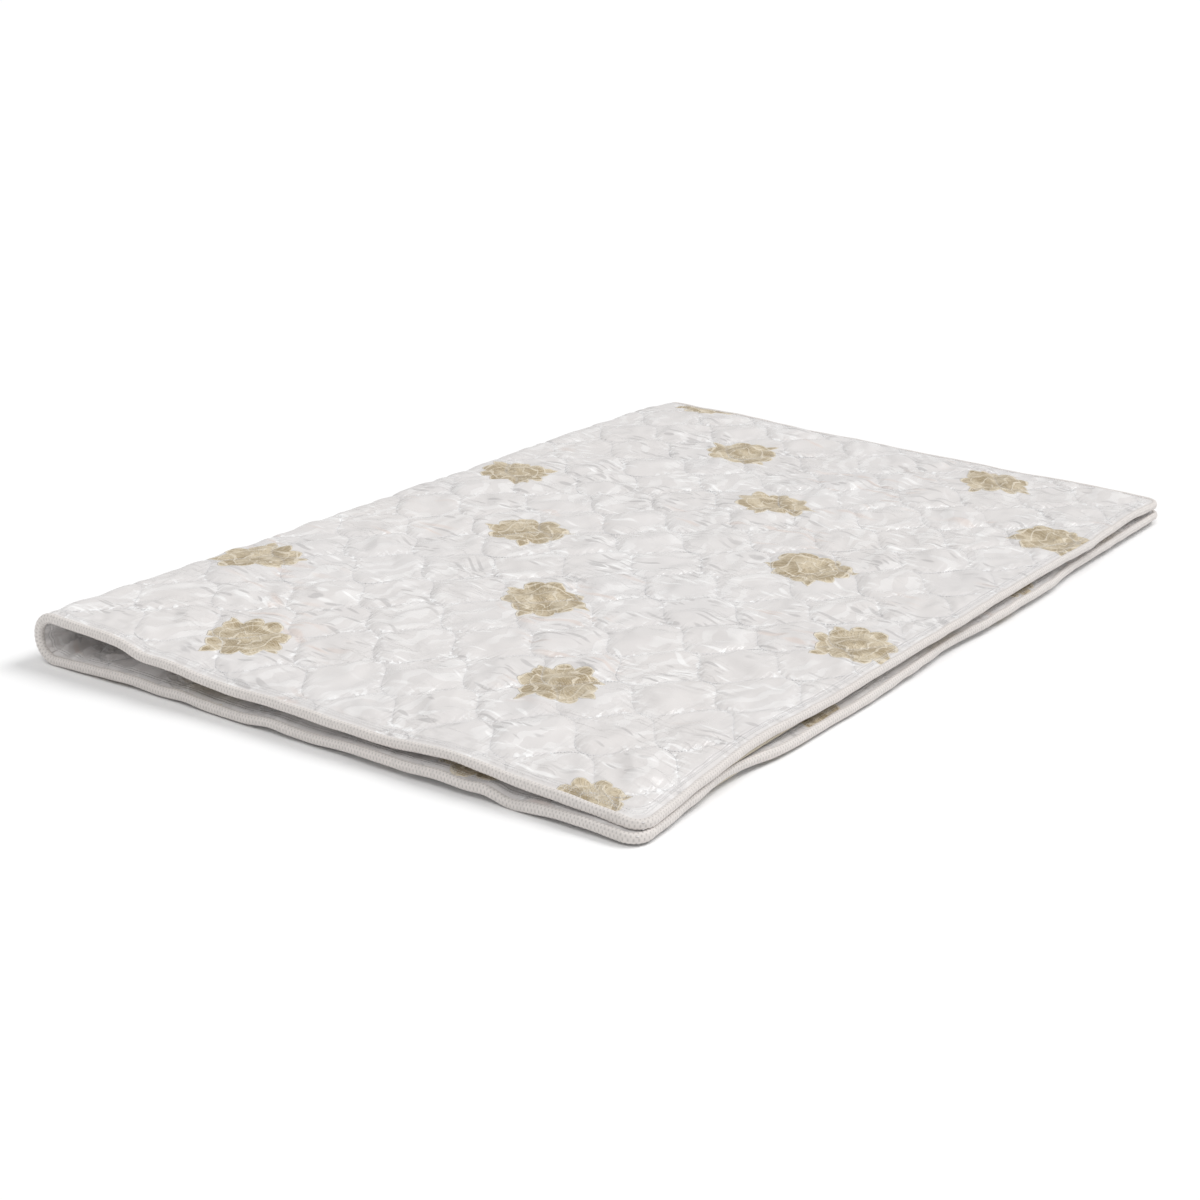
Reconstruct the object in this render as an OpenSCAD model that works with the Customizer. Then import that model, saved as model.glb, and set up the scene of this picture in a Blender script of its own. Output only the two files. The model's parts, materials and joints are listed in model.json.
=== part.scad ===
// Thin quilted futon mattress, folded once in half and lying on a flat surface.
//
// The pad is a stack of layers: a woven cover, a sheet of wadding, a felted core,
// a second sheet of wadding and a second cover. Quilting thread holds the stack
// together and a knitted tape, wrapped over the edge, closes it all round.
//
// The two halves of the pad are joined at the fold by a short chain of strips. The
// strips turn on hinge lines in the middle of the thickness, so that the pad opens
// flat without getting longer.
//
// X runs from the fold to the free edges, Y along the fold, Z up. The origin is at
// the middle of the underside of the folded pad.

/* [Pad] */
// Length of the pad laid flat, across the fold
flat_len = 2000; // [1600:10:2200]
// Width of the pad, along the fold
pad_w = 1500; // [700:10:1800]
// Radius of the two corners at each free end, seen from above
corner_r = 28; // [22:1:60]

/* [Layers] */
// Thickness of each woven cover
cover_t = 1; // [0.6:0.1:1.4]
// Thickness of each sheet of wadding
wadding_t = 5.5; // [4:0.5:7]
// Thickness of the felted core
core_t = 8; // [6:0.5:12]

/* [Fold] */
// Radius of the fold at the middle of the pad's thickness
fold_r = 27; // [22:1:36]
// Gap between the two halves at the free end
end_gap = 0.6; // [0.4:0.1:4]
// Gap left between one strip of the fold and the next
hinge_gap = 0.3; // [0.2:0.05:0.6]

/* [Binding tape] */
// Width of the tape on each face of the pad
tape_w = 13; // [10:1:18]
// Thickness of the knitted tape
tape_t = 1.5; // [1:0.1:2]
// Rounding of the tape over each arris of the edge
edge_r = 8; // [6:0.5:9]

/* [Stitching] */
// Width of a row of stitching
thread_w = 0.8; // [0.5:0.1:1.2]
// Width of a quilted cell, across the fold
cell_x = 150; // [110:5:200]
// Length of a quilted cell, along the fold
cell_y = 135; // [100:5:180]

/* [Hidden] */
$fn = 48;

// Stitches lie in the depth that the tape takes beyond the cover.
thread_t = tape_t - cover_t;
pad_t = 2 * (cover_t + thread_t + wadding_t) + core_t;
mid_t = pad_t / 2;
core_in = tape_t + 0.5;

// The fold turns through half a turn and the slope of the upper half.
hinges = 6;
strips = hinges - 1;
flat_gap = 2 * fold_r - pad_t;
slope = asin((flat_gap - end_gap) / (flat_len / 2 - fold_r));
bend = (180 + slope) / hinges;
taper = tan(bend / 2);
tangent_len = fold_r * taper;
strip_len = 2 * tangent_len;
half_len = (flat_len - strips * strip_len) / 2;
hinge_r = fold_r / cos(bend / 2);

// The centre of the fold, placed so that the folded pad is centred on the origin.
nose_x = (fold_r + mid_t) * cos(slope / 2) + tangent_len * sin(slope / 2);
upper_end_x = (half_len - tangent_len) * cos(slope) + (fold_r + mid_t) * sin(slope);
fold_x = (nose_x - upper_end_x) / 2;
fold_z = mid_t + fold_r;

// Reach of a body's end back from its hinge line, at height z over the middle.
function reach(z) = hinge_gap / 2 + max(0, z) * taper;
function levels(z1, z2) = z1 < 0 && z2 > 0 ? [z1, 0, z2] : [z1, z2];
function flipped(list) = [for (i = [len(list) - 1:-1:0]) list[i]];

// Section of a strip between two heights, with its hinge line at x = 0.
function strip_section(z1, z2) = concat(
    [for (z = levels(z1, z2)) [-reach(z), z]],
    [for (z = flipped(levels(z1, z2))) [reach(z) - strip_len, z]]
);

// Section of a half between two heights, with its hinge line at x = 0.
function half_section(z1, z2) = concat(
    [[half_len, z1], [half_len, z2]],
    [for (z = flipped(levels(z1, z2))) [reach(z), z]]
);

// Heights of the layers over the middle of the pad.
core_top = core_t / 2;
wadding_top = core_top + wadding_t;
thread_top = wadding_top + thread_t;

function strip_node(k, part) = str("fold", k, "_", part);
STRIP_PARTS = ["outer_cover", "outer_wadding", "core", "inner_wadding", "inner_cover",
    "binding_front", "binding_back"];
HALF_PARTS = ["outer_cover", "outer_wadding", "core", "inner_wadding", "inner_cover",
    "quilting_thread", "binding_front", "binding_end", "binding_back", "binding_thread"];

// ---- places ------------------------------------------------------------------

// Puts a body at hinge line k, turned by the bends behind it.
module at_hinge(k, bends) {
    turned = (k - 0.5) * bend;
    translate([fold_x - hinge_r * sin(turned), 0, fold_z - hinge_r * cos(turned)])
        rotate([0, bends * bend, 0])
            children();
}

module on_lower() {
    at_hinge(1, 0) children();
}

module on_strip(k) {
    at_hinge(k, k) children();
}

module on_upper() {
    at_hinge(hinges, hinges) mirror([1, 0, 0]) children();
}

// Draws a section in X and Z across the whole width of the pad, less an inset.
module across(inset = 0) {
    span = pad_w - 2 * inset;
    translate([0, span / 2, 0]) rotate([90, 0, 0]) linear_extrude(height = span) children();
}

// ---- layers ------------------------------------------------------------------

// Outline of a half seen from above, round at the two corners of its free end.
module half_outline(inset) {
    r = corner_r - inset;
    side = pad_w / 2 - inset;
    end = half_len - inset;
    translate([0, -side]) square([end - r, 2 * side]);
    translate([0, r - side]) square([end, 2 * (side - r)]);
    for (s = [-1, 1]) translate([end - r, s * (side - r)]) circle(r);
}

module half_layer(z1, z2, inset) {
    intersection() {
        across() polygon(half_section(z1, z2));
        translate([0, 0, z1]) linear_extrude(height = z2 - z1) half_outline(inset);
    }
}

module strip_layer(z1, z2, inset) {
    across(inset) polygon(strip_section(z1, z2));
}

cover_in = tape_w + thread_w;
wadding_in = edge_r;

module half_part(part) {
    if (part == "outer_cover") cover_colour() half_layer(-mid_t, -thread_top, cover_in);
    if (part == "inner_cover") cover_colour() half_layer(thread_top, mid_t, cover_in);
    if (part == "outer_wadding") wadding_colour() half_layer(-wadding_top, -core_top, wadding_in);
    if (part == "inner_wadding") wadding_colour() half_layer(core_top, wadding_top, wadding_in);
    if (part == "core") core_colour() half_layer(-core_top, core_top, core_in);
    if (part == "quilting_thread") thread_colour() quilting_thread();
    if (part == "binding_thread") thread_colour() binding_thread();
    if (part == "binding_front") tape_colour() half_tape_side();
    if (part == "binding_back") tape_colour() mirror([0, 1, 0]) half_tape_side();
    if (part == "binding_end") tape_colour() half_tape_end();
}

module strip_part(part) {
    if (part == "outer_cover") cover_colour() strip_layer(-mid_t, -thread_top, cover_in);
    if (part == "inner_cover") cover_colour() strip_layer(thread_top, mid_t, cover_in);
    if (part == "outer_wadding") wadding_colour() strip_layer(-wadding_top, -core_top, wadding_in);
    if (part == "inner_wadding") wadding_colour() strip_layer(core_top, wadding_top, wadding_in);
    if (part == "core") core_colour() strip_layer(-core_top, core_top, core_in);
    if (part == "binding_front") tape_colour() strip_tape();
    if (part == "binding_back") tape_colour() mirror([0, 1, 0]) strip_tape();
}

// ---- binding tape --------------------------------------------------------------

// The end of the pad's edge in section, x inwards from the edge, rounded by edge_r.
module edge_shape(inset, depth) {
    r = edge_r - inset;
    half = mid_t - inset;
    intersection() {
        union() {
            translate([inset + r, -half]) square([depth, 2 * half]);
            translate([inset, r - half]) square([depth, 2 * (half - r)]);
            for (s = [-1, 1]) translate([inset + r, s * (half - r)]) circle(r);
        }
        translate([0, -half]) square([depth, 2 * half]);
    }
}

// The tape in section: the edge less the space inside it, open on the pad's side.
module tape_section() {
    difference() {
        edge_shape(0, tape_w);
        edge_shape(tape_t, tape_w + 1);
    }
}

// A straight length of tape along the front edge, from x1 to x2.
module tape_run(x1, x2) {
    translate([x1, -pad_w / 2, 0])
        rotate([90, 0, 90])
            linear_extrude(height = x2 - x1)
                tape_section();
}

module half_tape_side() {
    intersection() {
        tape_run(0, half_len - corner_r);
        across() polygon(half_section(-mid_t, mid_t));
    }
}

module strip_tape() {
    intersection() {
        tape_run(-strip_len, 0);
        across() polygon(strip_section(-mid_t, mid_t));
    }
}

// The tape along the free end, with the two round corners.
module half_tape_end() {
    straight = pad_w - 2 * corner_r;
    translate([half_len, -straight / 2, 0])
        rotate([90, 0, 180])
            linear_extrude(height = straight)
                tape_section();
    for (s = [0, 1]) mirror([0, s, 0])
        translate([half_len - corner_r, straight / 2, 0])
            rotate_extrude(angle = 90)
                translate([corner_r, 0])
                    mirror([1, 0])
                        tape_section();
}

// ---- stitching -----------------------------------------------------------------

// Rows of quilting run across the fold and swing to and fro by a quarter of a cell.
// Each row mirrors its neighbour, so two rows close a row of cells.
row_gap = cell_y / 2;
row_swing = row_gap / 2 - thread_w;
rows = floor((pad_w - 2 * (cover_in + row_swing + thread_w)) / row_gap);
runs = floor((half_len - 2 * cover_in) / (cell_x / 2));
row_start = half_len - cover_in - thread_w - runs * cell_x / 2;

function row_point(row, i, side) = [
    row_start + i * cell_x / 2,
    (row - rows / 2) * row_gap + ((row + i) % 2 * 2 - 1) * row_swing + side * thread_w / 2
];

module quilting_row(row) {
    polygon(concat(
        [for (i = [0:runs]) row_point(row, i, -1)],
        [for (i = [runs:-1:0]) row_point(row, i, 1)]
    ));
}

module quilting_thread() {
    for (z = [-thread_top, wadding_top])
        translate([0, 0, z])
            linear_extrude(height = thread_t)
                for (row = [0:rows]) quilting_row(row);
}

// The row that sews the tape down, in the slit between the tape and each cover.
module binding_thread() {
    for (z = [-mid_t, thread_top])
        intersection() {
            across() polygon(half_section(z, z + cover_t));
            translate([0, 0, z])
                linear_extrude(height = cover_t)
                    difference() {
                        half_outline(tape_w);
                        half_outline(cover_in);
                    }
        }
}

// ---- colours -------------------------------------------------------------------

module cover_colour() {
    color([0.92, 0.92, 0.94]) children();
}

module wadding_colour() {
    color([0.97, 0.97, 0.96]) children();
}

module core_colour() {
    color([0.86, 0.83, 0.76]) children();
}

module tape_colour() {
    color([0.88, 0.86, 0.83]) children();
}

module thread_colour() {
    color([0.80, 0.80, 0.82]) children();
}

// ---- the pad -------------------------------------------------------------------

for (part = HALF_PARTS)
    on_lower() half_part(part);

for (k = [1:strips])
    for (part = STRIP_PARTS)
        on_strip(k) strip_part(part);

for (part = HALF_PARTS)
    on_upper() half_part(part);
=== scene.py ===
# %% [markdown]
# # A thin quilted futon mattress, folded once
#
# The real thing is a pad two metres long and a metre and a half wide. A white satin
# cover lies on both faces, wadding and a felted core lie between, quilting stitches
# hold the stack together, and a knitted tape closes the edge all round. It is folded
# in half, so one long loop of pad runs along the left side.
#
# A pad like this could be sculpted by hand, but its shape is easy to say in numbers.
# Every point of the pad has a place along its length, a place across its width and a
# height over its middle sheet. One function folds those three numbers into space, and
# every piece below is drawn flat and sent through it.

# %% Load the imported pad
import json
import math
import bpy
import numpy as np
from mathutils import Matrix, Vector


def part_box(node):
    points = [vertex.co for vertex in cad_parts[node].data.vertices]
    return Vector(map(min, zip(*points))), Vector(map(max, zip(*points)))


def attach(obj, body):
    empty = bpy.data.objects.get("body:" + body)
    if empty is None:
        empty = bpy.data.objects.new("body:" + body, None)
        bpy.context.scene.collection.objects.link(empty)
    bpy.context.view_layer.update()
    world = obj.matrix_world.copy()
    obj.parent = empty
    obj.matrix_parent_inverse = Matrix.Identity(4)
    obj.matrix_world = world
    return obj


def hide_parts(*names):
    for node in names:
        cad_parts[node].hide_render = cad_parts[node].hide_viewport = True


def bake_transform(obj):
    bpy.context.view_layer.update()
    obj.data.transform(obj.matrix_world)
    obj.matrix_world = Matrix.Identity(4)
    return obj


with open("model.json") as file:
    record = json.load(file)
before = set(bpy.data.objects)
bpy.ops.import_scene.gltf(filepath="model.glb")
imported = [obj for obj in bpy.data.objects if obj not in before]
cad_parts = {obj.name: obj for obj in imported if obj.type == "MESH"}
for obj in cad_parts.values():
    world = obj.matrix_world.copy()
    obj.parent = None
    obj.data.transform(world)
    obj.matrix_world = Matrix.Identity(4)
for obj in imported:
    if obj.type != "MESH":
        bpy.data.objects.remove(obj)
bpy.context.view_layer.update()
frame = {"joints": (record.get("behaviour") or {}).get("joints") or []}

# %% [markdown]
# ## The fold
#
# The pad turns round its fold in a short chain of hinges. The middle sheet follows an
# arc that touches the chain, so the radius and the centre of the arc come from the
# hinge lines themselves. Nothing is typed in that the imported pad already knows.

# %% Measure the fold
joints = frame["joints"]
hinges = np.array([[j["pos_m"][0], j["pos_m"][2]] for j in joints])
bend = math.radians(joints[0]["range_deg"][1])
turn_all = bend * len(joints)
fold_r = np.linalg.norm(hinges[1] - hinges[0]) / (2 * math.tan(bend / 2))
fold_x = hinges[0][0] + fold_r * math.tan(bend / 2)
fold_z = hinges[0][1] + fold_r
half_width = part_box("lower_binding_end")[1][1]
half_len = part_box("lower_binding_end")[1][0] - fold_x
fold_len = fold_r * turn_all
pad_len = 2 * half_len + fold_len
BODIES = ["lower_half"] + [j["child"] for j in joints]
print("fold radius", round(fold_r, 4), "length of one half", round(half_len, 4))
print("length along the middle sheet", round(pad_len, 4))

# %% [markdown]
# ## Small helpers for smooth shapes
#
# Cloth never has straight, even edges. A few helpers give all the gentle changes: a soft
# step from 0 to 1, a bell, a sum of bells, and a ripple made of crossing waves. The
# ripple's directions come from a seeded generator, so it is the same on every run.


# %% Soft steps, bumps and ripples
def soft(x, low, high):
    """0 below low, 1 above high, and an S-shaped rise between them."""
    t = np.clip((x - low) / (high - low), 0, 1)
    return t * t * (3 - 2 * t)


def bump(x, centre, width):
    """A bell of height 1 at the centre."""
    return np.exp(-(((x - centre) / width) ** 2))


def bells(x, *hills):
    """A sum of bells, each given by its height, centre and width."""
    return sum(height * bump(x, centre, width) for height, centre, width in hills)


def ripple(x, y, size, seed, waves=8):
    """A sum of plane waves, each about size long and in its own direction."""
    total = 0
    for way, stretch, phase in np.random.default_rng(seed).random((waves, 3)):
        k = 2 * math.pi / (size * (0.7 + 0.7 * stretch))
        across = x * math.cos(2 * math.pi * way) + y * math.sin(2 * math.pi * way)
        total = total + np.sin(k * across + 2 * math.pi * phase)
    return total / math.sqrt(2 * waves)


print("a ripple over 1 m:", np.round(ripple(np.linspace(0, 1, 5), 0, 0.3, 1), 2))

# %% [markdown]
# ## How the pad lies
#
# A soft pad never lies dead flat. The edges of the lower half lift off the floor in a
# few places, the upper half has slow waves, and its front edge hangs a little way into
# the gap. A simulation of the whole pad would give waves of its own, so these are put
# where they should be, as bells along each edge that die out inwards. The sag function
# gives the height that the middle sheet moves outwards, and the bow function gives how
# far the free end slides. Both fade away before the fold.


# %% Waves of the two halves
def reach(s):
    """Distance from the fold along either half, 0 in the fold."""
    return np.maximum(0, np.maximum(half_len - s, s - half_len - fold_len))


def lift_of_lower(x, y):
    """Height that the lower half is raised off the floor, most at its edges."""
    front = bells(x, (0.0030, 0.13, 0.055), (0.0022, 0.245, 0.03), (0.0045, 0.40, 0.035),
                  (0.0065, 0.56, 0.085), (0.0065, 0.675, 0.05), (0.0040, 0.735, 0.02),
                  (0.0035, 0.86, 0.05), (-0.0030, 0.775, 0.02))
    back = bells(x, (0.005, 0.2, 0.06), (0.006, 0.47, 0.07), (0.004, 0.73, 0.05))
    end = 0.0022 * (0.5 + 0.5 * ripple(y, 0, 0.3, 21)) + 0.008 * bump(y, -0.55, 0.09)
    end = end + 0.006 * soft(y, -0.35, 0.0)
    lift = front * np.exp((-half_width - y) / 0.075) + back * np.exp((y - half_width) / 0.07)
    return lift * soft(x, 0.02, 0.1) + end * np.exp((x - half_len) / 0.08)


def rise_of_upper(x, y):
    """Height of the slow waves of the upper half."""
    front = bells(x, (0.003, 0.16, 0.07), (-0.002, 0.33, 0.07), (0.0035, 0.50, 0.06),
                  (-0.001, 0.60, 0.04), (0.0045, 0.70, 0.06), (-0.001, 0.84, 0.05))
    wave = front * np.exp((-half_width - y) / 0.11)
    wave = wave + 0.0022 * ripple(x, y, 0.42, 5) + 0.0012 * ripple(x, y, 0.2, 6)
    ends = 0.0025 * (0.6 + 0.5 * ripple(y, 0, 0.34, 8)) * np.exp((x - half_len) / 0.09)
    return wave * soft(x, 0.0, 0.16) * soft(half_len - x, -0.02, 0.3) + ends


def dip_of_upper(x, y):
    """How far the front edge of the upper half hangs into the gap, less and less inwards."""
    dip = 0.0115 * soft(x, 0.09, 0.18) * (1 - 0.6 * soft(x, 0.56, 0.68))
    dip = dip + bells(x, (0.004, 0.175, 0.03), (0.004, 0.49, 0.07)) + 0.003 * soft(x, 0.85, 0.92)
    return dip * np.exp((-half_width - y) / 0.13)


edge = np.linspace(0, half_len, 200)
print("lower front edge lifts by up to", round(1000 * lift_of_lower(edge, -half_width).max(), 1), "mm")
print("upper front edge hangs by up to", round(1000 * dip_of_upper(edge, -half_width).max(), 1), "mm")


# %% Sag and bow
def edge_gap(s, y):
    """Distance in from the pad's outline, round at the four corners."""
    a = np.minimum(s, pad_len - s)
    b = half_width - np.abs(y)
    r = 0.045
    corner = r - np.hypot(np.maximum(r - a, 0), np.maximum(r - b, 0))
    return np.where((a < r) & (b < r), corner, np.minimum(a, b))


def sag(s, y):
    """Height that the middle sheet moves outwards: down on the lower half, up on the upper.

    The tape is thinner than the pad, so both halves also droop towards their edges.
    """
    x = reach(s)
    fold = 0.0011 * ripple(s * 1.5, y, 0.16, 3) * np.where(x > 0, np.exp(-x / 0.05), 1)
    under = bump(s, half_len + 0.012, 0.055)
    fold = fold + (0.0035 * under + 0.001 * np.exp(-x / 0.03)) * np.exp((-half_width - y) / 0.10)
    gap = edge_gap(s, y)
    flat = soft(x, 0.0, 0.12)
    low = 0.0030 * np.exp(-gap / 0.02) * flat - lift_of_lower(x, y)
    droop = 0.0062 * soft(x, 0.5 * half_len, half_len) * soft(-y, 0.45, 0.72)
    droop = droop - 0.0035 * soft(x, 0.6 * half_len, half_len) * soft(y, -0.35, 0.0)
    droop = (droop + 0.0060 * soft(y, 0.6, 0.75)) * np.exp(-gap / 0.05)
    high = rise_of_upper(x, y) - droop - dip_of_upper(x, y)
    return fold + np.where(s < pad_len / 2, low, high)


def bow(s, y):
    """How far the free end of each half slides along X."""
    lower = -0.002 + bells(y, (-0.014, -0.55, 0.09), (-0.008, -0.02, 0.11))
    lower = lower + 0.006 * soft(y, -0.35, 0.0) - 0.009 * soft(y, 0.3, 0.42)
    lower = lower + 0.0016 * ripple(y, 0, 0.19, 13)
    upper = -0.0035 + bells(y, (-0.010, -0.49, 0.12), (0.003, 0.02, 0.08), (0.005, 0.43, 0.07))
    upper = upper - 0.005 * soft(y, 0.52, 0.66) + 0.0012 * ripple(y, 0, 0.26, 14)
    near_end = soft(reach(s), 0.45 * half_len, half_len) * soft(y, -0.76, -0.64)
    return np.where(s < pad_len / 2, lower, upper) * near_end


print("lower free end slides by, mm:", np.round(1000 * bow(0.0, np.linspace(-0.6, 0.6, 5)), 1))


# %% Fold the flat pad into space
def place(s, y, out):
    """Folds the pad: s along the middle sheet from the lower free end, y across, out outwards.

    The sheet runs straight, then round an arc of radius fold_r, then straight again.
    """
    turn = np.clip((s - half_len) / fold_r, 0, turn_all)
    run = s - half_len - fold_r * turn
    rise = fold_r + out + sag(s, y)
    x = fold_x - rise * np.sin(turn) - run * np.cos(turn) + bow(s, y)
    z = fold_z - rise * np.cos(turn) + run * np.sin(turn)
    sway = 0.0018 * ripple(s, 0, 0.23, 15) * (y / half_width) ** 5
    spread = np.where(s < pad_len / 2, soft(reach(s), 0.2, 0.6), 0) * soft(-y, 0.2, half_width)
    return np.stack([x, y + sway - 0.008 * spread, z], -1)


print("lower free end at", np.round(place(0.0, 0.0, 0.0), 4))
print("upper free end at", np.round(place(pad_len, 0.0, 0.0), 4))

# %% [markdown]
# ## Rows of quilting
#
# A quilting machine sews many rows at once, and its frame swings to and fro as the pad
# runs under it. Each row mirrors the next, so two neighbours close a row of cells with
# round bellies and pinched ends. The row is a cosine with a little of its third
# harmonic, which keeps it flat at the pinches. A real row wanders by a few millimetres,
# so the pattern is measured in its own coordinates, u along the row and v across it.

# %% The quilting pattern
CELL_W = 0.148
ROW_GAP = 0.0675
SWING = ROW_GAP / 2 - 0.0005
FLATTEN = 0.04
FIRST_ROW = -half_width + 0.026 + SWING
PINCH_S = half_len + fold_len - 0.022 - fold_x
ROWS = range(-1, int((2 * half_width) / ROW_GAP) + 1)


def row_wave(u):
    """One row's swing, from -1 to 1, once for each cell."""
    a = 2 * math.pi * u / CELL_W
    return (1 + FLATTEN) * np.cos(a) - FLATTEN * np.cos(3 * a)


def pattern(s, y):
    """Place in the quilting pattern: u along the rows, v across them."""
    u = s - PINCH_S + CELL_W / 2 + 0.0045 * ripple(s, y, 0.34, 31)
    v = y - FIRST_ROW + 0.0032 * ripple(s, y, 0.28, 32)
    return u, v


def row_height(j, u):
    """v of row j: its own line plus its swing, which mirrors that of its neighbours."""
    return j * ROW_GAP + np.where(np.asarray(j) % 2 == 0, 1, -1) * SWING * row_wave(u)


def snap_to_rows(s, y, pitch):
    """Moves the points nearest each row onto it. Returns y and which points moved."""
    u, v = pattern(s, y)
    sewn = np.zeros(s.shape, bool)
    moved = y.copy()
    for j in ROWS:
        off = v - row_height(j, u)
        near = np.abs(off) <= pitch / 2
        moved = np.where(near, y - off, moved)
        sewn |= near
    return moved, sewn


print("rows of quilting:", len(ROWS))

# %% [markdown]
# ## Cloth between the stitches
#
# Between the rows the wadding pushes the satin up, and the thread gathers it into small
# creases. That is what a cloth solver is good at. A flat patch of cloth a few cells
# wide is pinned along the rows, cut a little too large, and blown up by pressure with
# gravity off. Each cell of the patch is pinned all round, so the big faces can borrow
# whole cells from it, turned over at random, and no two neighbours look alike.

# %% Blow up a patch of cells
PATCH_COLS = 3
PATCH_ROWS = 6
CREST = 0.0070


def patch_grid():
    """Grid of the patch in pattern coordinates, snapped to the rows, with what is sewn."""
    u = np.linspace(-CELL_W / 2, (PATCH_COLS + 0.5) * CELL_W, 173)
    v = np.linspace(-0.5 * ROW_GAP, (PATCH_ROWS + 1.5) * ROW_GAP, 127)
    uu, vv = np.meshgrid(u, v, indexing="ij")
    pitch = v[1] - v[0]
    sewn = np.zeros(uu.shape, bool)
    snapped = vv.copy()
    for j in range(-1, PATCH_ROWS + 3):
        off = vv - row_height(j, uu)
        near = np.abs(off) <= pitch / 2
        snapped = np.where(near, vv - off, snapped)
        sewn |= near
    sewn[[0, -1]] = True
    sewn[:, [0, -1]] = True
    return uu, snapped, sewn


def split_quads(index, sewn):
    """Two triangles for each square of the grid, cut along the side that joins sewn points."""
    def corners(grid):
        quads = grid[:-1, :-1], grid[1:, :-1], grid[1:, 1:], grid[:-1, 1:]
        return [corner.ravel() for corner in quads]
    a, b, c, d = corners(index)
    first, _, third, _ = corners(sewn)
    rising = (first & third)[:, None]
    one = np.where(rising, np.stack([a, b, c], 1), np.stack([a, b, d], 1))
    two = np.where(rising, np.stack([a, c, d], 1), np.stack([b, c, d], 1))
    return np.concatenate([one, two])


def ironed(move, sewn, rounds=7):
    """Averages each free point with its four neighbours a few times, which takes out the noise.

    The solver leaves small zigzags between one grid point and the next. Sewn points stay put.
    """
    for _ in range(rounds):
        wide = np.pad(move, ((1, 1), (1, 1), (0, 0)), mode="edge")
        near = wide[:-2, 1:-1] + wide[2:, 1:-1] + wide[1:-1, :-2] + wide[1:-1, 2:]
        move = np.where(sewn[..., None], move, 0.2 * (move + near))
    return move


print("cells in the patch:", PATCH_COLS, "by", PATCH_ROWS)


# %% Run the solver on the patch
def blown_patch(frames=24):
    """Where the solver moves each point of the patch: along u, along v and up."""
    uu, vv, sewn = patch_grid()
    start = 0.0006 + 0.0005 * np.random.default_rng(4).random(uu.shape)
    rest = np.stack([uu, vv, np.where(sewn, 0, start)], -1)
    index = np.arange(uu.size).reshape(uu.shape)
    mesh = bpy.data.meshes.new("patch")
    mesh.from_pydata(rest.reshape(-1, 3).tolist(), [], split_quads(index, sewn).tolist())
    patch = bpy.data.objects.new("patch", mesh)
    bpy.context.scene.collection.objects.link(patch)
    group = patch.vertex_groups.new(name="sewn")
    group.add(np.flatnonzero(sewn.ravel()).tolist(), 1.0, "REPLACE")
    cloth = patch.modifiers.new("cloth", "CLOTH")
    settings = cloth.settings
    settings.quality = 5
    settings.mass = 0.15
    settings.tension_stiffness = 20
    settings.compression_stiffness = 20
    settings.shear_stiffness = 8
    settings.bending_stiffness = 0.8
    settings.air_damping = 2
    settings.use_pressure = True
    settings.uniform_pressure_force = 1.3
    settings.vertex_group_mass = "sewn"
    settings.shrink_min = -0.012
    settings.effector_weights.gravity = 0
    cloth.collision_settings.use_collision = False
    cloth.point_cache.frame_start = 1
    cloth.point_cache.frame_end = frames
    for number in range(1, frames + 1):
        bpy.context.scene.frame_set(number)
    held = patch.evaluated_get(bpy.context.evaluated_depsgraph_get()).data
    blown = np.empty(len(held.vertices) * 3, np.float32)
    held.vertices.foreach_get("co", blown)
    bpy.context.scene.frame_set(1)
    bpy.data.objects.remove(patch)
    move = ironed(blown.reshape(rest.shape).astype(float) - rest * [1, 1, 0], sewn)
    move[..., 2] = np.maximum(move[..., 2], 0)
    return uu, vv, move


patch_u, patch_v, patch_move = blown_patch()
print("highest puff before trimming, mm:", round(1000 * patch_move[..., 2].max(), 2))

# %% [markdown]
# The solver's crowns may come out higher or lower than the wadding is thick, so their
# middle height is scaled to the crest that the pad should have. Then the patch is put
# on an even grid, ready to be read at any point.

# %% Read the patch anywhere
EVEN = 0.0016


def even_patch():
    """The patch's movement on an even grid, one column at a time."""
    u = np.arange(patch_u[0, 0], patch_u[-1, 0], EVEN)
    v = np.arange(patch_v.min(), patch_v.max(), EVEN)
    columns = np.array([
        [np.interp(v, patch_v[i], patch_move[i, :, k]) for k in range(3)]
        for i in range(patch_u.shape[0])
    ])
    place_u = (u - patch_u[0, 0]) / (patch_u[1, 0] - patch_u[0, 0])
    i = np.minimum(place_u.astype(int), patch_u.shape[0] - 2)
    t = (place_u - i)[:, None, None]
    grid = columns[i] * (1 - t) + columns[i + 1] * t
    scale = CREST / np.percentile(grid[:, 2], 97)
    grid[:, 2] = np.minimum(grid[:, 2] * scale, 1.25 * CREST)
    return grid.transpose(0, 2, 1)


patch_even = even_patch()


def read_patch(u, v):
    """Movement at (u, v) of the patch, blended between the four nearest points."""
    pu = np.clip((u - patch_u[0, 0]) / EVEN, 0, patch_even.shape[0] - 1.001)
    pv = np.clip((v - patch_v.min()) / EVEN, 0, patch_even.shape[1] - 1.001)
    i, j = pu.astype(int), pv.astype(int)
    a, b = (pu - i)[..., None], (pv - j)[..., None]
    low = patch_even[i, j] * (1 - a) + patch_even[i + 1, j] * a
    high = patch_even[i, j + 1] * (1 - a) + patch_even[i + 1, j + 1] * a
    return low * (1 - b) + high * b


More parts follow.
